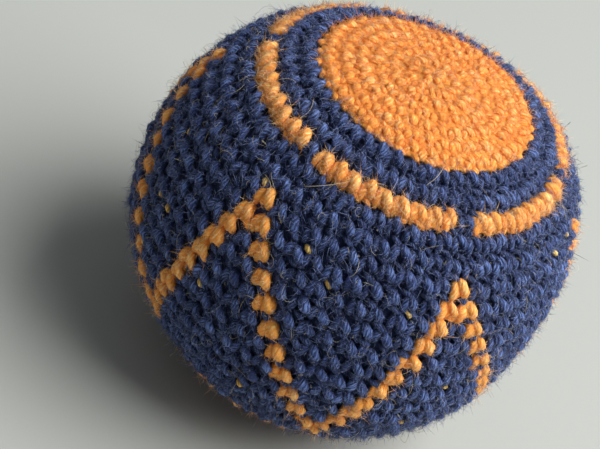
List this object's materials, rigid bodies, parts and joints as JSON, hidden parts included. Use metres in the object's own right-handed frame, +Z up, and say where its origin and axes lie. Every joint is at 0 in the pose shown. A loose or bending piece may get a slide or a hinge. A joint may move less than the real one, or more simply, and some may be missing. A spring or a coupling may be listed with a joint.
{
  "type": "juggling ball",
  "caption": "Soft crocheted ball filled with grain, for juggling: solid caps at both ends, dashed rings and a zigzag round its middle.",
  "frame": {"origin": "centre of the flat that the filled ball rests on, under the middle of the bottom cap", "axes": "+Z up through the middles of both caps, +X and +Y level; seen from -Y the zigzag's peaks lie near 4.5 degrees from +X and every 60 degrees"},
  "size_m": [0.07, 0.07, 0.063],
  "materials": {
    "orange_yarn": "matte wool-blend yarn, single crochet",
    "navy_yarn": "matte wool-blend yarn, single crochet",
    "liner_nylon": "matte knitted nylon",
    "binding_thread": "matte twisted thread",
    "grain": "loose dry grain, matte"
  },
  "bodies": {
    "root": {"top_cap": "orange_yarn", "upper_band": "navy_yarn", "upper_dashes": "orange_yarn", "upper_field": "navy_yarn", "zigzag": "orange_yarn", "lower_field": "navy_yarn", "lower_dashes": "orange_yarn", "lower_band": "navy_yarn", "bottom_cap": "orange_yarn", "liner_bag": "liner_nylon", "neck_thread": "binding_thread", "grain_filling": "grain"}
  },
  "joints": []
}
